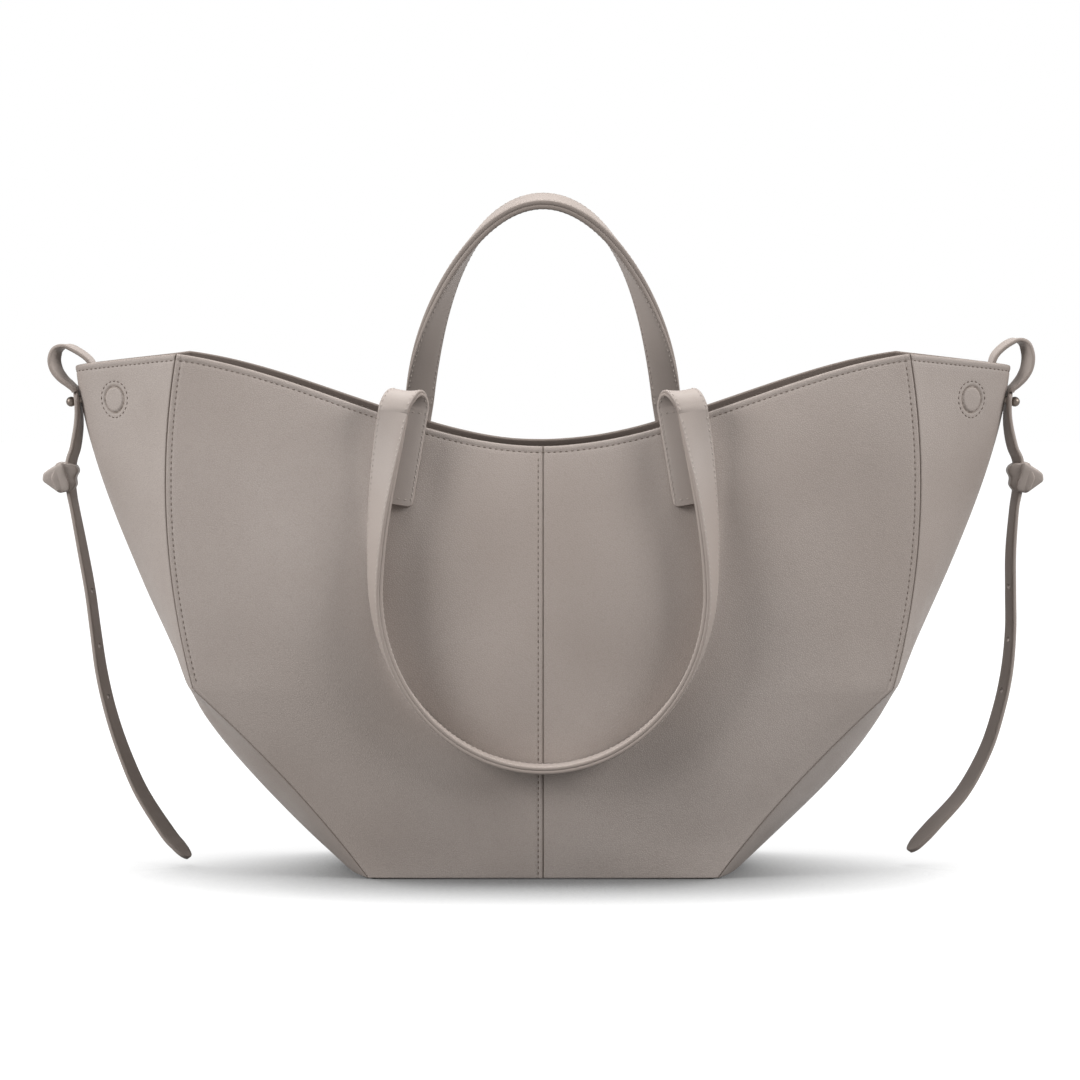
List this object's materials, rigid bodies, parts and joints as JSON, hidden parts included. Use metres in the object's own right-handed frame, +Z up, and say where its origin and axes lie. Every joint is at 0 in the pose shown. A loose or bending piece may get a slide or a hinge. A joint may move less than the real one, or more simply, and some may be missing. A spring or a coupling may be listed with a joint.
{
  "type": "trapeze bag",
  "caption": "Winged leather tote with a trapeze body, an upright short handle, a hanging long handle, magnetic wings and a knotted strap tie on each wing tip.",
  "frame": {"origin": "middle of the base on the surface that the bag stands on", "axes": "+X to the right across the wings, +Y to the back, +Z up"},
  "size_m": [0.5572, 0.1615, 0.3739],
  "materials": {
    "body_leather": "satin",
    "strap_leather": "satin",
    "inner_leather": "matte",
    "edge_paint": "satin",
    "board": "matte",
    "metal": "satin",
    "thread": "matte"
  },
  "bodies": {
    "bag": {"front_panel_left": "body_leather", "front_panel_right": "body_leather", "back_panel_left": "body_leather", "back_panel_right": "body_leather", "side_gusset_left": "body_leather", "side_gusset_right": "body_leather", "wing_left": "body_leather", "wing_right": "body_leather", "base_panel": "body_leather", "base_board": "board", "rim_facing_front": "inner_leather", "rim_facing_back": "inner_leather", "rim_facing_wing_left": "inner_leather", "rim_facing_wing_right": "inner_leather", "snap_magnet_left_front": "metal", "snap_magnet_left_back": "metal", "snap_magnet_right_front": "metal", "snap_magnet_right_back": "metal", "snap_cover_left_front": "inner_leather", "snap_cover_left_back": "inner_leather", "snap_cover_right_front": "inner_leather", "snap_cover_right_back": "inner_leather", "front_handle_tab_left": "strap_leather", "front_handle_tab_right": "strap_leather", "back_handle_tab_left": "strap_leather", "back_handle_tab_right": "strap_leather", "front_handle_backing_left": "inner_leather", "front_handle_backing_right": "inner_leather", "back_handle_backing_left": "inner_leather", "back_handle_backing_right": "inner_leather", "front_handle_bend_left": "strap_leather", "front_handle_bend_right": "strap_leather", "back_handle_bend_left": "strap_leather", "back_handle_bend_right": "strap_leather", "left_tie_loop": "strap_leather", "left_stud": "metal", "left_stud_screw": "metal", "right_tie_loop": "strap_leather", "right_stud": "metal", "right_stud_screw": "metal"},
    "front_handle": {"front_handle_outer": "strap_leather", "front_handle_inner": "strap_leather"},
    "back_handle": {"back_handle_outer": "strap_leather", "back_handle_inner": "strap_leather"},
    "left_tie": {"left_tie_strap": "strap_leather", "left_tie_knot": "strap_leather", "left_tie_tail": "strap_leather"},
    "right_tie": {"right_tie_strap": "strap_leather", "right_tie_knot": "strap_leather", "right_tie_tail": "strap_leather"}
  },
  "joints": [
    {"name": "front_handle_swing", "type": "hinge", "parent": "bag", "child": "front_handle", "pos_m": [0, -0.05826, 0.2575], "axis": [-1, 0, 0], "range_deg": [0, 175], "deforming": ["front_handle_bend_left", "front_handle_bend_right"]},
    {"name": "back_handle_swing", "type": "hinge", "parent": "bag", "child": "back_handle", "pos_m": [0, 0.05826, 0.2575], "axis": [1, 0, 0], "range_deg": [-175, 30], "deforming": ["back_handle_bend_left", "back_handle_bend_right"]},
    {"name": "left_tie_swing", "type": "hinge", "parent": "bag", "child": "left_tie", "pos_m": [-0.25833, 0, 0.25871], "axis": [-0.9832, 0, -0.1827], "range_deg": [-60, 60]},
    {"name": "right_tie_swing", "type": "hinge", "parent": "bag", "child": "right_tie", "pos_m": [0.25833, 0, 0.25871], "axis": [0.9832, 0, -0.1827], "range_deg": [-60, 60]}
  ]
}
